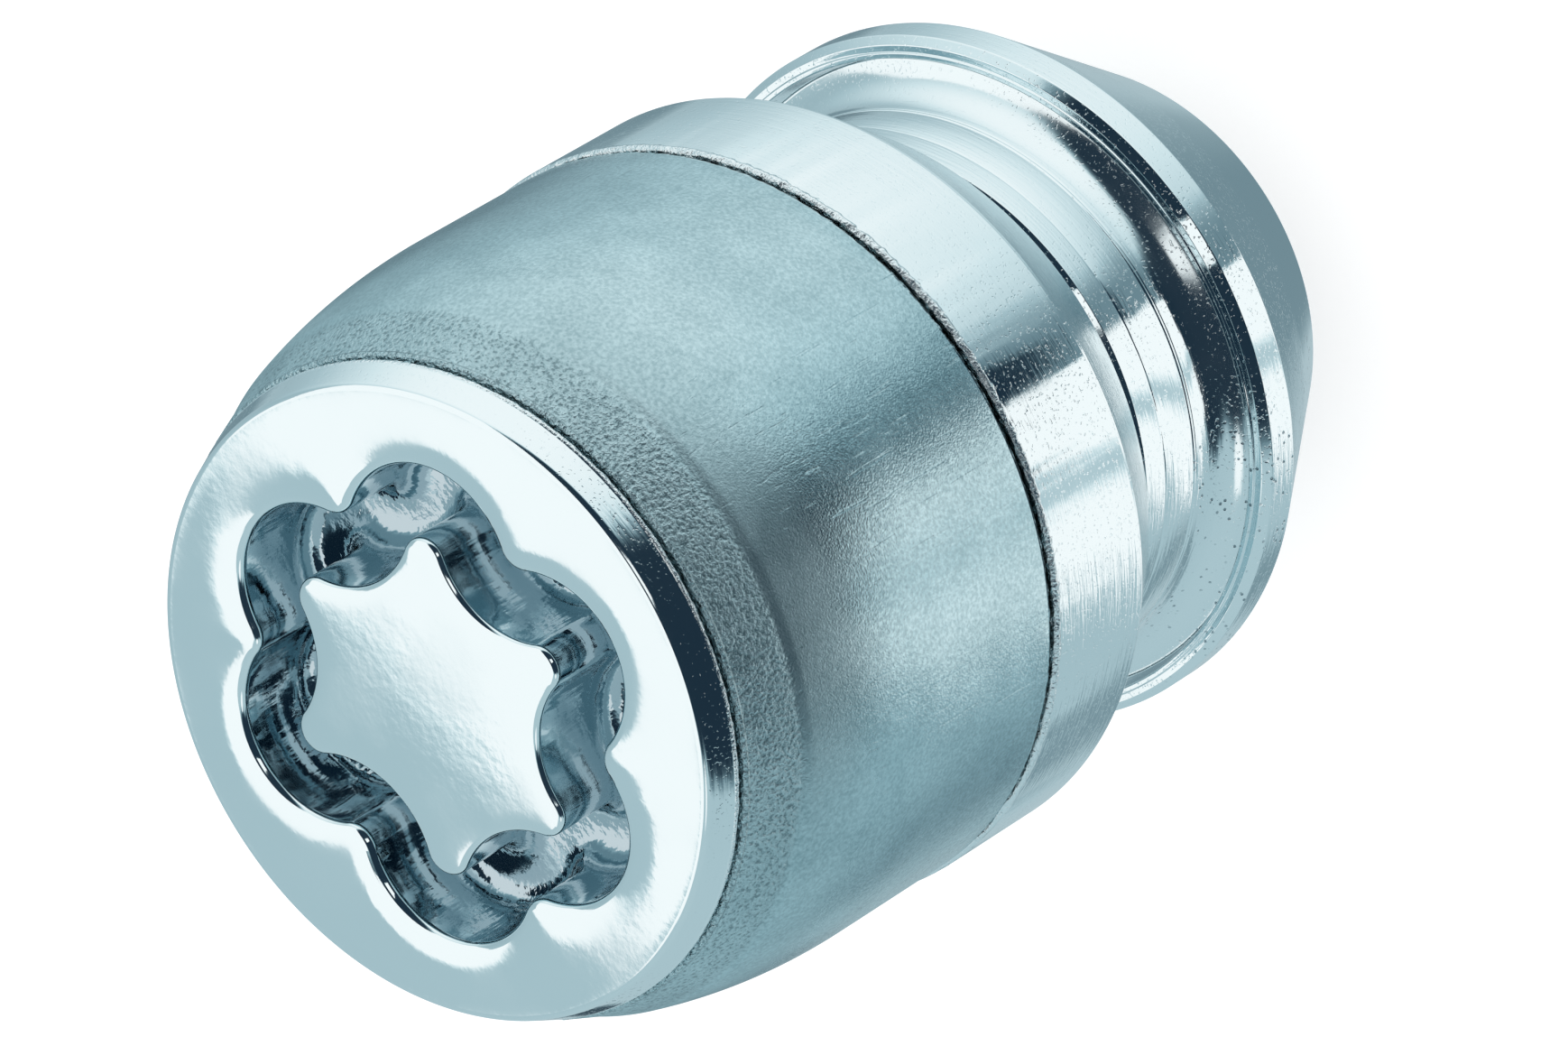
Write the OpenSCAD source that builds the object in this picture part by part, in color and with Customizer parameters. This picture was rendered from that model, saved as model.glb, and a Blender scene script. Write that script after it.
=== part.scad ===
// Locking wheel nut: a plated steel nut body with a cone seat and a keyed head,
// and a loose collar that spins round it. The origin is the middle of the cone's
// small end, and +Z runs up the thread's axis to the keyed face. Millimetres.

/* [Thread] */
// Nominal diameter of the wheel stud
stud_d = 12; // [10:0.5:14]
// Pitch of the stud's thread
pitch = 1.5; // [1:0.25:1.75]
// Depth of the threaded hole, from the end face to where its drill point starts
hole_depth = 23; // [16:0.5:25]
// Angle of the drill point at the hole's blind end
drill_angle = 118; // [90:1:140]
// Width and depth of the countersink round the hole's mouth
countersink = 1.2; // [0.8:0.1:1.5]

/* [Cone seat] */
// Width of the flat ring at the cone's small end, outside the countersink
end_ring = 1; // [0.6:0.1:2]
// Included angle of the cone that seats in the wheel
cone_angle = 60; // [50:1:70]
// Length of the cone along the axis
cone_len = 6.5; // [5:0.1:8]
// Length of the flange's rim, without its lip
rim_len = 1.1; // [0.6:0.1:3]
// Width and height of the lip's bevel at the front of the rim
lip = 0.25; // [0.1:0.05:0.4]

/* [Neck] */
// How far the flange stands out from the neck
flange_rise = 1.95; // [1.2:0.05:3]
// Length of the neck's straight part, from the cove to the shoulder
neck_len = 4.25; // [2.5:0.05:7]
// Height at which the neck leaves the cove, above the flange's lip
cove_len = 0.65; // [0.4:0.05:1.3]
// Radius of the cove that sweeps from the neck down behind the lip
cove_r = 1.45; // [1.2:0.05:2]
// Width of the flat ring along the top of the lip
lip_face = 0.4; // [0.2:0.05:0.6]
// How far the lip's inner wall leans towards the neck at its foot
lip_lean = 0.15; // [0.05:0.05:0.3]

/* [Shoulder band] */
// Step from the neck out to the narrow end of the shoulder's slope
neck_step = 1.05; // [0.3:0.05:1.5]
// Length of the slope, from that end up to the band
slope_len = 2.9; // [1.5:0.1:4]
// How far the slope's narrow end lies below the band
slope_drop = 1.8; // [0.8:0.1:2.5]
// Length of the polished band behind the collar
band_len = 4.3; // [2:0.1:8]

/* [Collar] */
// How far the collar's straight part lies below the band
collar_step = 0.1; // [0:0.05:0.3]
// Wall of the collar's straight part
collar_wall = 1.5; // [1.2:0.05:2]
// Overall length of the collar
collar_len = 13; // [10:0.1:18]
// Length of the collar's barrelled front, crease and rolled lip included
barrel_len = 7.7; // [6:0.1:9]
// Radius of the barrel's lengthwise curve
barrel_r = 22; // [18:0.5:40]
// Length of the lip that is rolled in, from the crease to the front edge
rolled_len = 1.75; // [1:0.05:2.2]
// Wall of the lip at its front edge
lip_wall = 0.7; // [0.5:0.05:0.9]
// Small bevel at the collar's rear edges
collar_bevel = 0.15; // [0.05:0.05:0.3]
// Radial clearance between the collar's bore and the core that it spins on
run_gap = 0.05; // [0.02:0.01:0.1]
// Play of the collar along the axis at each end, and of its lip in the undercut
end_gap = 0.1; // [0.05:0.01:0.2]

/* [Head] */
// Depth of the undercut that the collar's lip is rolled into
undercut = 0.75; // [0.4:0.05:1.2]
// Length of the undercut's floor
undercut_len = 1.1; // [0.8:0.05:1.6]
// Length of the head's rim, from the undercut to the edge of the face
head_len = 1.15; // [0.8:0.05:2.5]
// Width of the bevel round the head's rim
face_bevel = 0.45; // [0.2:0.05:0.8]
// Radius of the rounding round the face
edge_r = 0.3; // [0.1:0.05:0.4]
// Height by which the face is crowned
crown = 0.25; // [0.1:0.05:0.5]

/* [Key groove] */
// Depth of the key groove below the edge of the face
groove_depth = 3.1; // [2:0.1:5]
// Width of the groove between its straight walls
groove_w = 2.2; // [1.6:0.1:2.4]
// Radius of the rolled edges along the groove's mouth
mouth_r = 0.3; // [0.1:0.05:0.4]
// Radius of the fillets along the groove's floor
fillet_r = 0.5; // [0.2:0.05:0.7]
// Diameter of the circle that the lobes' centres lie on
lobe_circle_d = 9.3; // [9:0.1:9.8]
// Radius of the groove's middle line round a lobe
lobe_r = 1.85; // [1.7:0.05:2.1]
// Radius of the groove's middle line round the nose between two lobes
nose_r = 1.95; // [1.7:0.05:2.4]
// Direction of each lobe, which makes this nut's key its own
lobe_angles = [22, 76.5, 146.5, 201.5, 261.5, 322];

/* [Hidden] */
$fn = 96;
arc_steps = 12;
groove_steps = 8;
edge_steps = 3;
eps = 0.01;

// Share of the pitch by which an internal thread's crests stand inside its nominal radius
thread_height = 0.5413;

// Radii, from the stud outwards
minor_r = stud_d / 2 - thread_height * pitch;
countersink_r = minor_r + countersink;
tip_r = countersink_r + end_ring;
flange_r = tip_r + cone_len * tan(cone_angle / 2);
neck_r = flange_r - flange_rise;
slope_r = neck_r + neck_step;
band_r = slope_r + slope_drop;
collar_r = band_r - collar_step;
bore_r = collar_r - collar_wall;
core_r = bore_r - run_gap;
face_r = core_r - face_bevel;
floor_r = core_r - undercut;
lip_r = floor_r + end_gap;

// Heights along the axis, from the cone's small end up
z_rim = cone_len;
z_lip = z_rim + rim_len;
z_cove = z_lip + lip;
z_neck = z_cove + cove_len;
z_slope = z_neck + neck_len;
z_band = z_slope + slope_len;
z_seat = z_band + band_len;
z_collar = z_seat + end_gap;
z_front = z_collar + collar_len;
z_head = z_front + end_gap;
z_edge = z_head + head_len;
z_top = z_edge + crown;
z_floor = z_edge - groove_depth;

// Points along an arc about c, from angle a to angle b, without its first point if first is 1
function arc(c, r, a, b, n = arc_steps, first = 0) =
    [for (i = [first:n]) let (t = a + (b - a) * i / n) c + r * [cos(t), sin(t)]];

function direction(v) = atan2(v.y, v.x);

// The same angle, taken as near to the angle base as it can be
function near(angle, base) = angle - 360 * round((angle - base) / 360);

// Centre of lobe k, counted round the axis, and of the nose that follows it
function lobe_centre(k) =
    let (a = lobe_angles[k % len(lobe_angles)]) lobe_circle_d / 2 * [cos(a), sin(a)];
function nose_centre(k) =
    let (a = lobe_centre(k), b = lobe_centre(k + 1), m = (a + b) / 2, h = norm(b - a) / 2)
    m + m / norm(m) * sqrt(pow(lobe_r + nose_r, 2) - h * h);

// Closed outline that lies off outside the groove's middle line: tangent arcs, lobe then nose
function key_outline(off) =
    let (last = len(lobe_angles) - 1)
    [for (k = [0:last])
        let (c = lobe_centre(k), before = nose_centre(k + last), after = nose_centre(k),
             next = lobe_centre(k + 1), out = lobe_angles[k], in = direction(-after),
             lobe_from = near(direction(before - c), out - 90),
             lobe_to = near(direction(after - c), out + 90),
             nose_from = near(direction(c - after), in + 45),
             nose_to = near(direction(next - after), in - 45))
        each concat(
            arc(c, lobe_r + off, lobe_from, lobe_to, groove_steps, 1),
            arc(after, nose_r - off, nose_from, nose_to, groove_steps, 1))];

// Half of the groove's cross-section, as offset and height, from above the face down to the floor
function groove_half() =
    let (half_w = groove_w / 2,
         roll = arc([half_w + mouth_r, z_edge + crown / 2 - mouth_r], mouth_r, 135, 180, edge_steps),
         rise = z_top + eps - roll[0].y)
    concat(
        [roll[0] + [rise, rise]],
        roll,
        arc([half_w - fillet_r, z_floor + fillet_r], fillet_r, 0, -90, edge_steps));

// The groove that the key's rim enters: its cross-section carried round the star-shaped island
module key_groove() {
    half = groove_half();
    last = len(half) - 1;
    section = concat(half, [for (i = [last:-1:0]) [-half[i].x, half[i].y]]);
    rings = [for (p = section) [for (q = key_outline(p.x)) [q.x, q.y, p.y]]];
    n = len(rings);
    m = len(rings[0]);
    polyhedron(
        points = [for (ring = rings) each ring],
        faces = [for (i = [0:n - 1], j = [0:m - 1])
            let (i1 = (i + 1) % n, j1 = (j + 1) % m,
                 a = i * m + j, b = i * m + j1, c = i1 * m + j1, d = i1 * m + j)
            each [[a, b, c], [a, c, d]]]);
}

// Blind threaded hole at its minor diameter, with its countersink and drill point
module stud_hole() {
    rotate_extrude()
        polygon([
            [0, -eps],
            [countersink_r + eps, -eps],
            [minor_r, countersink],
            [minor_r, hole_depth],
            [0, hole_depth + minor_r / tan(drill_angle / 2)]]);
}

// Half section of the solid nut body: cone, flange, cove, neck, band, core, undercut and head
module nut_section() {
    lip_in_r = flange_r - lip - lip_face;
    cove_sweep = acos((neck_r + cove_r - lip_in_r + lip_lean) / cove_r);
    edge_c = [face_r - edge_r, z_edge - edge_r];
    crown_r = (pow(edge_c.x, 2) + crown * crown) / (2 * crown);
    crown_half = asin(edge_c.x / crown_r);
    polygon(concat(
        [[0, 0], [tip_r, 0], [flange_r, z_rim], [flange_r, z_lip],
         [flange_r - lip, z_cove], [lip_in_r, z_cove]],
        arc([neck_r + cove_r, z_neck], cove_r, 180 + cove_sweep, 180),
        [[neck_r, z_slope],
         [slope_r, z_slope],
         [band_r, z_band],
         [band_r, z_seat],
         [core_r, z_seat],
         [core_r, z_head - undercut_len - undercut],
         [floor_r, z_head - undercut_len],
         [floor_r, z_head],
         [core_r, z_head]],
        arc(edge_c, edge_r, 20, 90, 4),
        arc([0, z_top - crown_r], crown_r, 90 - crown_half, 90, first = 1)));
}

// One forged, turned and plated piece
module nut_body() {
    color("lightsteelblue")
        difference() {
            rotate_extrude() nut_section();
            stud_hole();
            key_groove();
        }
}

// Loose sleeve, slid over the head and rolled into the undercut behind it
module collar() {
    z_barrel = z_front - barrel_len;
    z_crease = z_front - rolled_len;
    z_inside = z_head - undercut_len + end_gap;
    barrel_end = asin((z_crease - z_barrel) / barrel_r);
    color("slategray")
        rotate_extrude()
            polygon(concat(
                [[bore_r, z_collar + collar_bevel],
                 [bore_r + collar_bevel, z_collar],
                 [collar_r - collar_bevel, z_collar],
                 [collar_r, z_collar + collar_bevel]],
                arc([collar_r - barrel_r, z_barrel], barrel_r, 0, barrel_end),
                [[lip_r + lip_wall, z_front],
                 [lip_r, z_front],
                 [lip_r, z_inside],
                 [bore_r, z_inside - (bore_r - lip_r)]]));
}

nut_body();
collar();
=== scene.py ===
from math import cos, radians, sin, sqrt

import bpy
import numpy as np
from mathutils import Matrix, Vector


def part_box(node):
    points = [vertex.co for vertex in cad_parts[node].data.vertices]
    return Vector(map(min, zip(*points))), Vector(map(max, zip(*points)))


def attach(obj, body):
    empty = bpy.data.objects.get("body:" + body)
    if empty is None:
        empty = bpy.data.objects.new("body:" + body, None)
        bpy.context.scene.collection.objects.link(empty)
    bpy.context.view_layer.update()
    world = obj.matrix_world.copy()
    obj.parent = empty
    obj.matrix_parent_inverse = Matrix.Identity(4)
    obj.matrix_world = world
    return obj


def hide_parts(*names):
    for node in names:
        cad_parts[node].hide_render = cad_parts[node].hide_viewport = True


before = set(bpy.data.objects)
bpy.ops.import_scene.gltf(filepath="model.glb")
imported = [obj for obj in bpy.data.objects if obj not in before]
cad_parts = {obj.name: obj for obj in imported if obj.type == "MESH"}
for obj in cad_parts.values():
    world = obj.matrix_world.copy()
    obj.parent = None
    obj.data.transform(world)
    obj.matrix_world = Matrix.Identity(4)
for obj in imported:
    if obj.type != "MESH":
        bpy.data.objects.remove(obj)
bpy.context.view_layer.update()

# The camera looks down at the keyed face along a line that leans 45.65 degrees from level, through
# a long lens, and is rolled so that the nut's axis runs from the lower left to the upper right.
mm = 0.001
crown = 0.25 * mm
face_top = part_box("nut_body")[1].z
face_middle = Vector((0, 0, face_top - crown))
lean = radians(45.65)
roll = radians(-121.26)
lens, film_width = 300, 36
face_distance = 379.37 * mm
face_right, face_up = -10.215 * mm, -5.302 * mm

look = Vector((0, cos(lean), -sin(lean)))
level_right = Vector((1, 0, 0))
level_up = level_right.cross(look)
view_right = cos(roll) * level_right + sin(roll) * level_up
view_up = cos(roll) * level_up - sin(roll) * level_right

camera = bpy.data.objects.new("camera", bpy.data.cameras.new("camera"))
camera.data.lens = lens
camera.data.sensor_width = film_width
camera.data.clip_start = 10 * mm
camera.matrix_world = Matrix((view_right, view_up, -look)).transposed().to_4x4()
camera.location = face_middle - face_right * view_right - face_up * view_up - face_distance * look
bpy.context.scene.collection.objects.link(camera)
bpy.context.scene.camera = camera
bpy.context.scene.view_settings.view_transform = "Standard"

# The floor is a plain pale sheet. It takes the nut's soft shadow, and the camera sees it lifted to
# white. Reflections look through it, so that the plated steel shows the studio all round.
floor_half = 4.0
floor_grey = 0.6
floor_lift = 0.62

floor_mesh = bpy.data.meshes.new("floor")
floor_corners = floor_half * np.array([[-1, -1, 0], [1, -1, 0], [1, 1, 0], [-1, 1, 0]])
floor_mesh.from_pydata(floor_corners.tolist(), [], [(0, 1, 2, 3)])
floor = bpy.data.objects.new("floor", floor_mesh)
bpy.context.scene.collection.objects.link(floor)
floor.visible_glossy = False

floor_paint = bpy.data.materials.new("floor_paint")
floor_paint.use_nodes = True
nodes, links = floor_paint.node_tree.nodes, floor_paint.node_tree.links
paint = nodes["Principled BSDF"]
paint.inputs["Base Color"].default_value = (floor_grey, floor_grey, floor_grey, 1)
paint.inputs["Roughness"].default_value = 0.9
paint.inputs["Specular IOR Level"].default_value = 0
paint.inputs["Emission Color"].default_value = (1, 1, 1, 1)
seen = nodes.new("ShaderNodeLightPath")
lift = nodes.new("ShaderNodeMath")
lift.operation = "MULTIPLY"
lift.inputs[1].default_value = floor_lift
links.new(seen.outputs["Is Camera Ray"], lift.inputs[0])
links.new(lift.outputs[0], paint.inputs["Emission Strength"])
floor_mesh.materials.append(floor_paint)

# The studio is a light tent: pale cloth, white panels and a dark opening for the camera, each placed
# by its turn round the camera's line of sight and its angle off it. Only reflections see them. The
# floor and the camera get plain white from all sides.
studio_tones = [(0, (0.010, 0.025, 0.044)), (0.21, (0.19, 0.28, 0.32)), (0.49, (0.50, 0.62, 0.66)),
                (0.75, (0.86, 0.93, 0.945)), (1, (1.21, 1.14, 1.12))]
eye_gamma = 2.2


def studio_direction(turn, off):
    """Unit vector at the angle off from the way back to the camera, turned round it from the right."""
    turn, off = radians(turn), radians(off)
    side = cos(turn) * view_right + sin(turn) * view_up
    return sin(off) * side - cos(off) * look


world = bpy.data.worlds.new("studio")
world.use_nodes = True
bpy.context.scene.world = world
nodes, links = world.node_tree.nodes, world.node_tree.links
ray = nodes.new("ShaderNodeTexCoord").outputs["Generated"]


def calc(operation, *inputs):
    """One math node: each input is a number or another node's output."""
    node = nodes.new("ShaderNodeMath")
    node.operation = operation
    for socket, value in zip(node.inputs, inputs):
        if isinstance(value, (int, float)):
            socket.default_value = value
        else:
            links.new(value, socket)
    return node.outputs[0]


def along(axis):
    """How far the ray's direction runs along an axis."""
    node = nodes.new("ShaderNodeVectorMath")
    node.operation = "DOT_PRODUCT"
    links.new(ray, node.inputs[0])
    node.inputs[1].default_value = axis
    return node.outputs["Value"]


def soft_step(value, start, end):
    """0 before start, 1 after end and smooth between them."""
    node = nodes.new("ShaderNodeMapRange")
    node.interpolation_type = "SMOOTHSTEP"
    links.new(value, node.inputs["Value"])
    node.inputs["From Min"].default_value = start
    node.inputs["From Max"].default_value = end
    return node.outputs["Result"]


def panel(turn, off, width, height, edge, roll=0):
    """Mask of a flat panel that faces the nut: its middle's direction, its half sizes as slopes seen
    from the nut, the share of a unit over which its edges fade, and its roll about its middle."""
    middle = studio_direction(turn, off)
    radial = (studio_direction(turn, off + 1) - middle).normalized()
    outward = cos(radians(roll)) * radial + sin(radians(roll)) * middle.cross(radial).normalized()
    across = middle.cross(outward).normalized()
    ahead = along(middle)
    depth = calc("MAXIMUM", ahead, 0.02)
    x = calc("ABSOLUTE", calc("DIVIDE", along(outward), depth))
    y = calc("ABSOLUTE", calc("DIVIDE", along(across), depth))
    inside = calc("MULTIPLY", soft_step(x, width + edge, width), soft_step(y, height + edge, height))
    return calc("MULTIPLY", inside, soft_step(ahead, 0.02, 0.06))


def spot(turn, off, size, edge):
    """Mask of a round patch: all within size degrees of its middle, fading over edge degrees."""
    ahead = along(studio_direction(turn, off))
    return soft_step(ahead, cos(radians(size + edge)), cos(radians(size)))


def lay_over(below, mask, level):
    """The level inside the mask, what lies below it elsewhere."""
    return calc("MULTIPLY_ADD", calc("SUBTRACT", level, below), mask, below)


# The cloth, then what stands before it from back to front, each with its level from dark to bright
level = calc("MULTIPLY_ADD", along(view_up), -0.05, 0.695)
layers = [
    (soft_step(along(studio_direction(92, 80)), 0.25, 1.0), 0.98),  # glow of the lit cloth overhead
    (panel(26, 118, 0.90, 0.10, 0.22), 0.50),  # shade between two cloths
    (spot(139, 165, 8, 8), 0.50),  # three shaded folds
    (spot(-37, 141, 6, 6), 0.54),
    (spot(-80, 163, 3, 4), 0.25),
    (spot(0, 0, 40, 14), 0.10),  # dark opening round the camera, and its lower part
    (panel(0, 52, 0.58, 0.55, 0.30), 0.10),
    (panel(5, 110, 0.56, 0.345, 0.015), 1.0),  # white panel on the right, with the seam across it
    (panel(4, 110, 0.60, 0.015, 0.06), 0.76),
    (panel(-172, 64.7, 0.445, 0.90, 0.015), 1.0),  # white panel on the left and the one that leans on it
    (panel(-149, 80.2, 0.14, 0.40, 0.04, 21.7), 1.0),
    (panel(-149, 3, 0.30, 0.10, 0.02), 1.0),  # white card beside the lens
    (spot(-83, 54, 7, 3), 1.0),  # small lamp
]
for mask, brightness in layers:
    level = lay_over(level, mask, brightness)

tone = nodes.new("ShaderNodeValToRGB")
stops = tone.color_ramp.elements
for at, colour in studio_tones:
    stop = stops[0] if at == 0 else stops[-1] if at == 1 else stops.new(at)
    stop.color = (*colour, 1)
links.new(calc("POWER", level, eye_gamma), tone.inputs["Fac"])
reflected = nodes.new("ShaderNodeBackground")
links.new(tone.outputs["Color"], reflected.inputs["Color"])
plain = nodes["Background"]
plain.inputs["Color"].default_value = (1, 1, 1, 1)
plain.inputs["Strength"].default_value = 1
seen = nodes.new("ShaderNodeLightPath")
either = nodes.new("ShaderNodeMixShader")
links.new(seen.outputs["Is Glossy Ray"], either.inputs["Fac"])
links.new(plain.outputs[0], either.inputs[1])
links.new(reflected.outputs[0], either.inputs[2])
links.new(either.outputs[0], nodes["World Output"].inputs["Surface"])

# The nut body is one piece of steel, forged with its key groove, turned, tapped and chromed.
# Its surface runs from the drill point down the tapped hole, round the outside, over the face and
# through the groove to the middle of the star. It is made as two meshes that meet on the neck.
around = 432  # points round a ring
hole_share = 4  # of which this many share one point of the tapped hole
seat_edges = np.array([
    # radius, height and size of the rounding, from the countersink up to the flange's lip
    (6.0, 0.388, 0),
    (6.388, 0, 0.06),
    (7.388, 0, 0.2),
    (11.141, 6.5, 0.12),
    (11.141, 7.6, 0.06),
    (10.891, 7.85, 0.05),
    (10.68, 7.85, 0.02),
    (10.66, 7.93, 0.03),
    (10.491, 7.93, 0.05),
    (10.341, 7.081, 0.15),
    (10.12, 7.15, 0),
]) * mm
neck_edges = np.array([
    # the same, from the cove up the neck, the shoulder, the band and the core to the head
    (9.191, 8.5, 0),
    (9.191, 11.36, 0.04),
    (8.95, 11.6, 0.1),
    (8.95, 12.75, 0.1),
    (10.241, 12.75, 0.1),
    (11.98, 15.55, 0.03),
    (12.0, 15.66, 0.03),
    (12.041, 15.70, 0.03),
    (12.041, 19.95, 0.12),
    (10.391, 19.95, 0.1),
    (10.391, 31.3, 0.05),
    (9.641, 32.05, 0.05),
    (9.641, 33.15, 0.05),
    (10.391, 33.15, 0.1),
    (9.941, 34.3, 0.3),
]) * mm
neck_r, cove_top = neck_edges[0, :2]
band_r, band_end = neck_edges[8, :2]
head_r, head_foot = neck_edges[13, :2]
neck_join = 8.7 * mm
tool_marks = np.array([(8.80, 0.04, 0.012), (8.93, 0.05, 0.02), (10.4, 0.07, 0.012)]) * mm
cove_r = 1.45 * mm
cove_sweep = radians(69)

land_r = 9.6 * mm
groove_floor = 31.2 * mm
groove_half_width = 1.1 * mm
fillet_r = 0.85 * mm
land_mouth, star_mouth = 0.3 * mm, 0.2 * mm
land_dip_reach, star_dip_reach = 0.42 * mm, 0.15 * mm
dip_slope = radians(12)
dip_spread = 8  # points of a ring, each way
lobe_circle_r = 4.65 * mm
lobe_r = 1.85 * mm
nose_r = 1.95 * mm
lobe_angles = np.radians([22, 76.5, 146.5, 201.5, 261.5, 322])
crown_r = (land_r ** 2 + crown ** 2) / (2 * crown)


def rounded(corners, steps=4, support=0.04 * mm):
    """Points (radius, height) along the corners, with each inner corner cut back to an arc tangent
    to both its sides, and a supporting point on each side just before the arc."""
    points = [corners[0, :2]]
    for before, corner, after in zip(corners[:-2], corners[1:-1], corners[2:]):
        p, size = corner[:2], corner[2]
        back, on = before[:2] - p, after[:2] - p
        back_len, on_len = np.linalg.norm(back), np.linalg.norm(on)
        back, on = back / back_len, on / on_len
        half = np.arccos(np.clip(back @ on, -1, 1)) / 2
        cut = min(size / np.tan(half), 0.4 * back_len, 0.4 * on_len)
        size = cut * np.tan(half)
        middle = p + (back + on) / np.linalg.norm(back + on) * size / np.sin(half)
        start, end = p + back * cut - middle, p + on * cut - middle
        sweep = np.pi - 2 * half
        t = np.linspace(0, 1, steps + 1)[:, None]
        arc = (np.sin((1 - t) * sweep) * start + np.sin(t * sweep) * end) / np.sin(sweep)
        points.extend([p + back * (cut + min(support, back_len / 10)), *(middle + arc),
                       p + on * (cut + min(support, on_len / 10))])
    points.append(corners[-1, :2])
    return np.array(points)


def crown_height(r):
    """Height of the crowned face at a distance r from the axis: a sphere's cap."""
    return face_top - crown_r + np.sqrt(crown_r ** 2 - r ** 2)


# The groove's middle line: an arc round each lobe, then one round the nose that follows it.
lobe = lobe_circle_r * np.stack([np.cos(lobe_angles), np.sin(lobe_angles)], axis=1)
chord = (np.roll(lobe, -1, axis=0) - lobe) / 2
chord_middle = lobe + chord
reach = np.sqrt((lobe_r + nose_r) ** 2 - (chord ** 2).sum(axis=1))
outward = chord_middle / np.linalg.norm(chord_middle, axis=1, keepdims=True)
nose = chord_middle + outward * reach[:, None]


def sweep_between(middle, start, end, way):
    """Angles at which an arc about middle starts and ends, going round the given way."""
    a = np.arctan2(*(start - middle).T[::-1])
    b = np.arctan2(*(end - middle).T[::-1])
    return a, a + way * np.mod(way * (b - a), 2 * np.pi)


lobe_from, lobe_to = sweep_between(lobe, np.roll(nose, 1, axis=0), nose, 1)
nose_from, nose_to = sweep_between(nose, lobe, np.roll(lobe, -1, axis=0), -1)
arc_middle = np.stack([lobe, nose], axis=1).reshape(-1, 2)
arc_from = np.stack([lobe_from, nose_from], axis=1).ravel()
arc_to = np.stack([lobe_to, nose_to], axis=1).ravel()
arc_r = np.tile([lobe_r, nose_r], len(lobe))
arc_side = np.tile([1.0, -1.0], len(lobe))
arc_len = np.abs(arc_to - arc_from) * arc_r
travelled = np.concatenate([[0], np.cumsum(arc_len)])
place = np.linspace(0, travelled[-1], around, endpoint=False)
which = np.searchsorted(travelled, place, side="right") - 1
share = (place - travelled[which]) / arc_len[which]
turned = arc_from[which] + share * (arc_to - arc_from)[which]

# Headings of the round rings: each lobe's and nose's middle keeps its own, and the rest lie evenly
# between them, so that the land between the rings and the groove isn't twisted.
arc_heading = np.unwrap(np.arctan2(arc_middle[:, 1], arc_middle[:, 0]))
arc_place = (travelled[:-1] + travelled[1:]) / 2
turn, lap = 2 * np.pi, travelled[-1]
heading = np.interp(place, [arc_place[-1] - lap, *arc_place, arc_place[0] + lap],
                    [arc_heading[-1] - turn, *arc_heading, arc_heading[0] + turn])
compass = np.stack([np.cos(heading), np.sin(heading)], axis=1)


def groove_line(offset):
    """Outline that lies the offset outside the groove's middle line: each arc's radius grows by it
    round a lobe and shrinks by it round a nose."""
    radius = arc_r[which] + arc_side[which] * offset
    return arc_middle[which] + radius[:, None] * np.stack([np.cos(turned), np.sin(turned)], axis=1)


def ring(xy, z):
    """One ring of points, from its plan and its height."""
    return np.column_stack([xy, np.broadcast_to(z, len(xy))])


def over_face(xy, drop=0.0):
    """A ring that follows the crowned face, or lies a little below it."""
    return ring(xy, crown_height(np.linalg.norm(xy, axis=1)) + drop)


def uneven(rings, r, z, amount, seed, edge_reach=0.1 * mm):
    """Rings whose points near the edge at (r, z) are pushed in and along by a sum of sine waves, of
    20 to 140 a turn with drawn strengths and starts, as the burr that is left on a cut edge."""
    draw = np.random.default_rng(seed)
    waves = np.arange(20, 141)
    start = draw.uniform(0, 2 * np.pi, (2, len(waves)))
    strength = draw.normal(0, 1 / sqrt(len(waves)), (2, len(waves)))
    angle = np.arctan2(rings[..., 1], rings[..., 0])[..., None] * waves
    push = -amount * np.abs((np.sin(angle + start[0]) * strength[0]).sum(axis=-1))
    lift_up = amount * (np.sin(angle + start[1]) * strength[1]).sum(axis=-1)
    here = np.hypot(rings[..., 0], rings[..., 1])
    near = np.exp(-((here - r) ** 2 + (rings[..., 2] - z) ** 2) / edge_reach ** 2)
    scale = 1 + near * push / here
    moved = rings[..., 0] * scale, rings[..., 1] * scale, rings[..., 2] + near * lift_up
    return np.stack(moved, axis=-1)


def tool_line(z, half_width, depth):
    """A shallow groove that the lathe tool left round the neck: one wave of a cosine."""
    t = np.linspace(-1, 1, 7)
    return np.column_stack([neck_r - depth * (1 + np.cos(np.pi * t)) / 2, z + half_width * t])


angles = radians(180) + np.linspace(cove_sweep, 0, 12)
cove = np.column_stack([neck_r + cove_r + cove_r * np.cos(angles), cove_top + cove_r * np.sin(angles)])
neck_foot = np.array([[neck_r, neck_join - 0.05 * mm], [neck_r, neck_join]])
face_edge = [land_r, crown_height(land_r), 0]
seat_profile = np.vstack([rounded(seat_edges)[1:-1], cove, neck_foot])
profile = np.vstack([neck_foot[-1:], *(tool_line(*mark) for mark in tool_marks),
                     rounded(np.vstack([neck_edges, face_edge]))[1:]])
seat_rings = np.array([ring(compass * r, z) for r, z in seat_profile])
rings = np.array([ring(compass * r, z) for r, z in profile])
rings = uneven(rings, band_r, band_end, 0.06 * mm, 5)
rings = list(uneven(rings, head_r, head_foot, 0.03 * mm, 6))


def mouth_line(side, mouth, angle=dip_slope):
    """Outline of the groove's mouth at an angle round its rolled edge, from level to upright."""
    return groove_line(side * (groove_half_width + mouth * (1 - sin(angle))))


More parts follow.
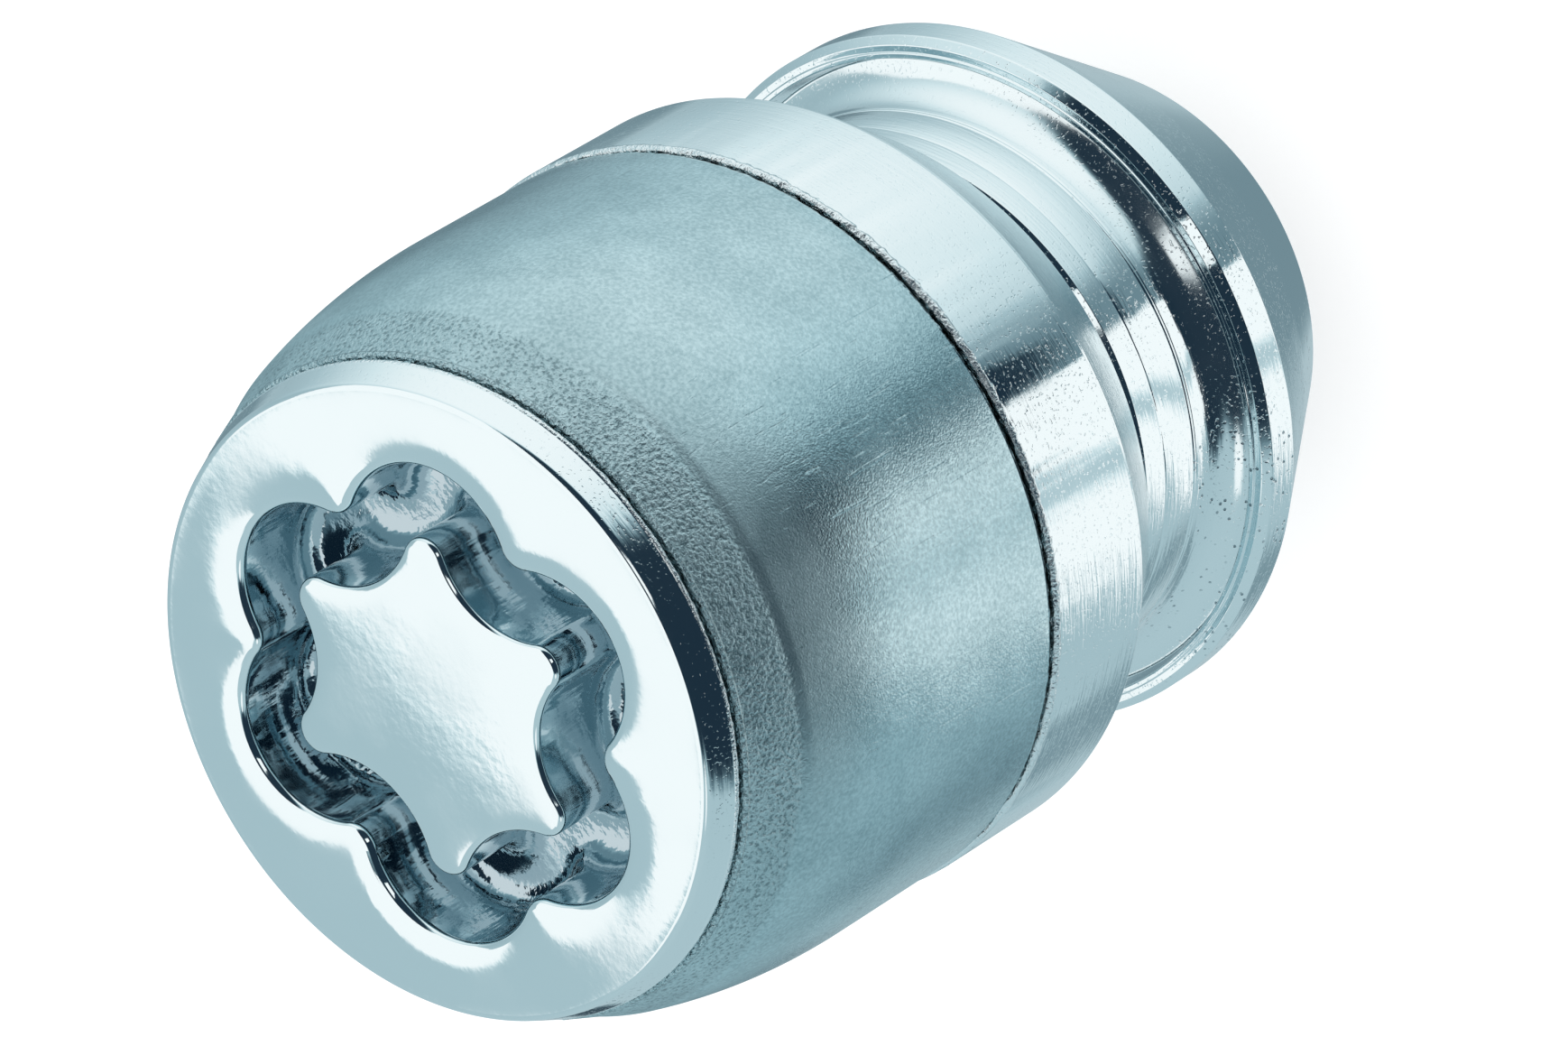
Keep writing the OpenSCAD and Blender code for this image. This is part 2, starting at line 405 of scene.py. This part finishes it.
def dipping(xy, edge_line, reach):
    """A ring of the face, which dips towards the groove's mouth: by the exponential of minus the
    distance from the mouth's line over the reach, evened out along the ring."""
    away = np.linalg.norm(xy[:, None] - edge_line, axis=2).min(axis=1)
    dip = np.exp(-away / reach)
    even = np.hanning(2 * dip_spread + 3)[1:-1]
    dip = np.convolve(np.concatenate([dip[-dip_spread:], dip, dip[:dip_spread]]), even / even.sum(), "valid")
    return over_face(xy, -reach * np.tan(dip_slope) * dip)


land_edge, star_edge = mouth_line(1, land_mouth), mouth_line(-1, star_mouth)
rings += [dipping((1 - t) * compass * land_r + t * land_edge, land_edge, land_dip_reach)
          for t in np.sin(np.linspace(0, np.pi / 2, 16)[1:])]
for side, mouth, reach in ((1, land_mouth, land_dip_reach), (-1, star_mouth, star_dip_reach)):
    foot = reach * np.tan(dip_slope)
    roll_in = [over_face(mouth_line(side, mouth, a), mouth * (cos(a) - cos(dip_slope)) - foot)
               for a in np.linspace(dip_slope, np.pi / 2, 7)]
    fillet = [ring(groove_line(side * (groove_half_width - fillet_r + fillet_r * cos(a))),
                   groove_floor + fillet_r * (1 + sin(a))) for a in np.radians(np.linspace(0, -90, 8))]
    rings += (roll_in[1:] + fillet) if side > 0 else (fillet[::-1] + roll_in[::-1])
rings += [dipping((1 - t) * star_edge, star_edge, star_dip_reach)
          for t in np.linspace(0, 1, 17)[1:-1] ** 1.5]

pitch = 1.5 * mm
bore_r = 5.188 * mm
hole_depth = 23 * mm
thread_end = 21 * mm
countersink_r = 6.388 * mm
drill_half_angle = radians(59)
hole_mouth = seat_edges[0, 1]
thread_rings = 194


def tapped_radius(angle, z):
    """Radius of the tapped hole: 60 degree ridges with flats of an eighth of the pitch at their feet
    and a quarter at their crests, which climb one pitch a turn and run out at the thread's end."""
    phase = np.mod(z / pitch - angle / (2 * np.pi), 1)
    flank = np.clip(np.abs(phase - 0.5) - 1 / 16, 0, 5 / 16)
    depth = (5 / 16 - flank) * sqrt(3) * pitch * np.clip((thread_end - z) / pitch, 0, 1)
    return np.maximum(bore_r + depth, countersink_r - z)


hole_heading = heading[::hole_share]
hole_z = np.concatenate([[hole_depth], np.linspace(thread_end + 0.1 * mm, hole_mouth, thread_rings)])
grid_heading, grid_z = np.meshgrid(hole_heading, hole_z)
grid_r = tapped_radius(grid_heading, grid_z)
hole_rings = np.stack([grid_r * np.cos(grid_heading), grid_r * np.sin(grid_heading), grid_z], axis=-1)


def quads(first, rows, n):
    """Corners of the faces between successive closed rings of n points, the first at point first."""
    i, j = np.meshgrid(np.arange(rows - 1), np.arange(n), indexing="ij")
    a, b = first + i * n + j, first + i * n + (j + 1) % n
    return np.stack([a, b, b + n, a + n], axis=-1).reshape(-1, 4).tolist()


def skin(name, points, faces):
    """Smooth mesh of points and faces, as a piece at the origin."""
    mesh = bpy.data.meshes.new(name)
    mesh.from_pydata(points.tolist(), [], faces)
    mesh.polygons.foreach_set("use_smooth", np.ones(len(mesh.polygons), bool))
    mesh.update()
    piece = bpy.data.objects.new(name, mesh)
    bpy.context.scene.collection.objects.link(piece)
    return piece


hole_n = around // hole_share
outer_first = hole_rings.shape[0] * hole_n
k = np.arange(hole_n)
mouth_inner = outer_first - hole_n
mouth_outer = [outer_first + (hole_share * k + s) % around for s in range(hole_share, -1, -1)]
mouth = np.stack([mouth_inner + k, mouth_inner + (k + 1) % hole_n, *mouth_outer], axis=1)
drill_tip = outer_first + seat_rings.shape[0] * around
drill_fan = np.stack([np.full(hole_n, drill_tip), (k + 1) % hole_n, k], axis=1)
drill_point = [[0, 0, hole_depth + bore_r / np.tan(drill_half_angle)]]
seat_points = np.concatenate([hole_rings.reshape(-1, 3), seat_rings.reshape(-1, 3), drill_point])
seat_end = skin("nut_seat_end", seat_points, drill_fan.tolist() + quads(0, len(hole_rings), hole_n)
                + mouth.tolist() + quads(outer_first, len(seat_rings), around))

k = np.arange(around)
last = (len(rings) - 1) * around
star_fan = np.stack([np.full(around, last + around), last + k, last + (k + 1) % around], axis=1)
key_end = skin("nut_key_end", np.concatenate([np.reshape(rings, (-1, 3)), [[0, 0, face_top]]]),
               quads(0, len(rings), around) + star_fan.tolist())

# Chrome follows the turned steel under it, so its marks run round the axis. Its colour is painted
# darker in the groove, as painted shade in that recess. It doesn't reach the thread, and is pitted on the
# cove's worn side.
plate_colour = (0.72, 0.84, 0.87)
# painted shade: the darker colour that the plate takes inside the groove
groove_shade_colour = (0.44, 0.56, 0.61)
pit_colour = (0.24, 0.33, 0.37)
bare_colour = (0.36, 0.40, 0.42)
worn_heading = radians(-145)
mark_squeeze = 20.0

chrome = bpy.data.materials.new("chrome_plate")
chrome.use_nodes = True
nodes, links = chrome.node_tree.nodes, chrome.node_tree.links
plate = nodes["Principled BSDF"]
plate.inputs["Metallic"].default_value = 1


def noise(where, scale, detail=2.0):
    """Noise of so many cells a millimetre, from 0 to 1."""
    node = nodes.new("ShaderNodeTexNoise")
    links.new(where, node.inputs["Vector"])
    node.inputs["Scale"].default_value = scale / mm
    node.inputs["Detail"].default_value = detail
    return node.outputs["Fac"]


def join(x, y, z):
    """A vector from three outputs."""
    node = nodes.new("ShaderNodeCombineXYZ")
    for socket, value in zip(node.inputs, (x, y, z)):
        links.new(value, socket)
    return node.outputs[0]


def total(*terms):
    """Sum of products: each term is a tuple of outputs and numbers to multiply."""
    result = None
    for first, *others in terms:
        for other in others:
            first = calc("MULTIPLY", first, other)
        result = first if result is None else calc("ADD", result, first)
    return result


def between(value, low, high, edge):
    """1 from low to high, fading to 0 over the edge outside them."""
    return calc("MULTIPLY", soft_step(value, low - edge, low), soft_step(value, high + edge, high))


def mixed(share, first, second):
    """Colour that goes from the first to the second as the share grows; either may be an output."""
    node = nodes.new("ShaderNodeMix")
    node.data_type = "RGBA"
    links.new(share, node.inputs["Factor"])
    for socket, colour in zip((node.inputs["A"], node.inputs["B"]), (first, second)):
        if isinstance(colour, tuple):
            socket.default_value = (*colour, 1)
        else:
            links.new(colour, socket)
    return node.outputs["Result"]


def set_bump(shader, height):
    """Feeds a height in millimetres to the shader's normal."""
    bump = nodes.new("ShaderNodeBump")
    bump.inputs["Strength"].default_value = 1
    bump.inputs["Distance"].default_value = mm
    links.new(height, bump.inputs["Height"])
    links.new(bump.outputs[0], shader.inputs["Normal"])


def where_on_piece():
    """Object coordinates, split, and the distance from the axis."""
    coordinates = nodes.new("ShaderNodeTexCoord").outputs["Object"]
    split = nodes.new("ShaderNodeSeparateXYZ")
    links.new(coordinates, split.inputs[0])
    x, y, z = split.outputs
    return coordinates, x, y, z, calc("SQRT", total((x, x), (y, y)))


coordinates, x, y, z, from_axis = where_on_piece()
lengthwise = total((z, mark_squeeze), (calc("MAXIMUM", from_axis, 9.1 * mm), mark_squeeze))
marks = noise(join(x, y, lengthwise), 0.45, 3.0)
patches = soft_step(noise(coordinates, 0.35), 0.42, 0.62)
heading_share = calc("DIVIDE", total((x, cos(worn_heading)), (y, sin(worn_heading))), from_axis)
worn_side = soft_step(heading_share, cos(radians(36)), cos(radians(14)))
on_neck = between(z, 8.6 * mm, 12.7 * mm, 0.1 * mm)
outside = calc("MULTIPLY", soft_step(from_axis, 8.9 * mm, 9.3 * mm), soft_step(z, 34.25 * mm, 34.1 * mm))
turned_depth = total((outside, 0.0035), (patches, outside, 0.004), (worn_side, outside, 0.012),
                     (on_neck, 0.006))
groove_zone = calc("MULTIPLY", soft_step(from_axis, 8.9 * mm, 8.6 * mm), soft_step(z, 30 * mm, 31 * mm))
deep = calc("MULTIPLY", groove_zone, soft_step(z, 34.1 * mm, 33.2 * mm))
bare = calc("MULTIPLY", soft_step(from_axis, 6.5 * mm, 6.2 * mm), soft_step(z, 29 * mm, 28 * mm))
cells = nodes.new("ShaderNodeTexVoronoi")
links.new(coordinates, cells.inputs["Vector"])
cells.inputs["Scale"].default_value = 4 / mm
rare = soft_step(noise(coordinates, 1.3), 0.44, 0.54)
pits = calc("MULTIPLY", soft_step(cells.outputs["Distance"], 0.28, 0.12), rare)
pitted = calc("MULTIPLY", worn_side, soft_step(z, 9.2 * mm, 8.6 * mm))
waves = noise(join(x, y, calc("MULTIPLY", z, 0.2)), 3.5)
cove_deep = calc("MULTIPLY", between(z, 7 * mm, 8.1 * mm, 0.3 * mm),
                 soft_step(from_axis, 10.5 * mm, 10.35 * mm))
dents = soft_step(noise(coordinates, 9), 0.60, 0.72)
ragged = total((z, 1.0), (noise(coordinates, 3), 0.3 * mm))
burr = calc("MULTIPLY", outside,
            calc("ADD", between(ragged, band_end, band_end + 0.35 * mm, 0.05 * mm),
                 between(z, head_foot - 0.05 * mm, head_foot + 0.15 * mm, 0.1 * mm)))
swell = noise(coordinates, 1.2)
# Turned marks, the forging's swell, pits, burr and dents outside, then the flutes in the groove
set_bump(plate, total((marks, turned_depth), (marks, deep, 0.0015), (swell, 0.0022),
                      (noise(coordinates, 4), 0.0012), (pits, pitted, -0.012),
                      (noise(coordinates, 9, 3.0), burr, 0.07), (dents, outside, -0.0035),
                      (waves, deep, 0.018), (swell, deep, 0.006), (noise(coordinates, 5, 3.0), deep, 0.001)))
# painted shade: inside the groove the plate's colour is mixed towards a darker one
groove_shaded = mixed(deep, plate_colour, groove_shade_colour)
worn = mixed(calc("MULTIPLY", pits, pitted), groove_shaded, pit_colour)
links.new(mixed(bare, worn, bare_colour), plate.inputs["Base Color"])
roughness = total((0.045, calc("ADD", 1, patches)), (deep, 0.01), (bare, 0.3), (pits, pitted, 0.3),
                  (cove_deep, 0.07))
links.new(roughness, plate.inputs["Roughness"])
for piece in (seat_end, key_end):
    piece.data.materials.append(chrome)
    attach(piece, "nut")
    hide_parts("nut_body")
# The seat end stays out of reflections, so that the neck and the cove mirror the studio alone
seat_end.visible_glossy = False

# The collar is a loose steel sleeve, turned, tumbled to a matt grain, slid over the head and
# rolled in behind it, so that it turns freely when anything but the key grips it.
collar_r = 11.941 * mm
collar_bore = 10.441 * mm
collar_rear, barrel_start, crease, collar_front = np.array([20.05, 25.35, 31.3, 33.05]) * mm
lip_bore, lip_back = 9.741 * mm, 32.15 * mm
barrel_r = 22 * mm
crease_depth, crease_width = 0.07 * mm, 0.4 * mm
t = np.arcsin((crease - barrel_start) / barrel_r) * np.sin(np.linspace(0, np.pi / 2, 32))
barrel = np.column_stack([collar_r - barrel_r * (1 - np.cos(t)), barrel_start + barrel_r * np.sin(t)])
rolled = np.clip((barrel[:, 1] - crease + crease_width) / crease_width, 0, 1)
barrel[:, 0] -= crease_depth * rolled ** 2 * (3 - 2 * rolled)
rear = rounded(np.array([(collar_bore, 21 * mm, 0), (collar_bore, collar_rear, 0.15 * mm),
                         (collar_r, collar_rear, 0.12 * mm), (collar_r, 21 * mm, 0)]))
front = rounded(np.array([(*barrel[-1], 0), (collar_bore, collar_front, 0.1 * mm),
                          (lip_bore, collar_front, 0.05 * mm), (lip_bore, lip_back, 0.05 * mm),
                          (collar_bore, lip_back - 0.7 * mm, 0.1 * mm), (collar_bore, 29 * mm, 0)]))
profile = np.vstack([rear, barrel, front[1:]])
rings = np.array([ring(compass * r, z) for r, z in profile])
rings = uneven(rings, collar_r, collar_rear, 0.06 * mm, 7)
rings = uneven(rings, collar_bore, collar_front, 0.03 * mm, 11)
last = (len(rings) - 1) * around
k = np.arange(around)
joint = np.stack([last + k, last + (k + 1) % around, (k + 1) % around, k], axis=1).tolist()
collar = skin("spinning_collar", rings.reshape(-1, 3), quads(0, len(rings), around) + joint)

# Tumbling leaves the collar's steel matt, in fine grain with clouds and stray scratches. Its rolled
# lip is coarser, and its rear edge, where it meets the band, is darker in patches.
dark_colour = (0.295, 0.455, 0.50)
light_colour = (0.515, 0.715, 0.765)
fleck_colour = (0.22, 0.34, 0.38)
rear_dark_colour = (0.06, 0.09, 0.10)
scratch_ways = ((20, 5, 10), (-35, 6, 50), (70, 5, 140))

satin = bpy.data.materials.new("tumbled_steel")
satin.use_nodes = True
nodes, links = satin.node_tree.nodes, satin.node_tree.links
steel = nodes["Principled BSDF"]
steel.inputs["Metallic"].default_value = 1


def scratches(lean, scale, twist):
    """Sparse long streaks: noise stretched along a line that leans from the axis and twists about it."""
    turned = nodes.new("ShaderNodeMapping")
    turned.inputs["Rotation"].default_value = (radians(lean), radians(3 * lean), radians(twist))
    turned.inputs["Scale"].default_value = (1, 1, 0.05)
    links.new(coordinates, turned.inputs["Vector"])
    return soft_step(noise(turned.outputs[0], scale), 0.66, 0.74)


coordinates, _, _, z, _ = where_on_piece()
clouds = soft_step(noise(coordinates, 0.5, 4.0), 0.25, 0.75)
speckle = soft_step(noise(coordinates, 8, 3.0), 0.25, 0.75)
lip_zone = soft_step(z, crease - 0.3 * mm, crease + 0.2 * mm)
worn_front = soft_step(z, 27 * mm, 31 * mm)
rear_edge = between(z, collar_rear - 0.05 * mm, collar_rear + 0.1 * mm, 0.08 * mm)
front_edge = between(z, collar_front - 0.1 * mm, collar_front + 0.05 * mm, 0.05 * mm)
edge_burr = calc("ADD", rear_edge, front_edge)
set_bump(steel, total((noise(coordinates, 15, 2.0), 0.011), (noise(coordinates, 4, 2.0), 0.002),
                      (noise(coordinates, 8, 3.0), lip_zone, 0.08),
                      (noise(coordinates, 7, 3.0), edge_burr, 0.08),
                      *((scratches(*way), -0.004) for way in scratch_ways)))
tumbled = mixed(total((clouds, 0.4), (speckle, 0.6)), dark_colour, light_colour)
# the rear edge, where the collar meets the band, is made darker in patches
darkened_rear = calc("MULTIPLY", rear_edge, soft_step(noise(coordinates, 4), 0.65, 0.45))
flecks = calc("MULTIPLY", lip_zone, soft_step(noise(coordinates, 8, 2.0), 0.46, 0.34))
coarse = mixed(flecks, tumbled, fleck_colour)
links.new(mixed(darkened_rear, coarse, rear_dark_colour), steel.inputs["Base Color"])
roughness = total((0.185, calc("MULTIPLY_ADD", clouds, 0.4, 1)), (speckle, -0.07), (worn_front, 0.24),
                  (lip_zone, -0.04), (edge_burr, -0.12))
links.new(roughness, steel.inputs["Roughness"])
collar.data.materials.append(satin)
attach(collar, "collar")
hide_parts("collar")
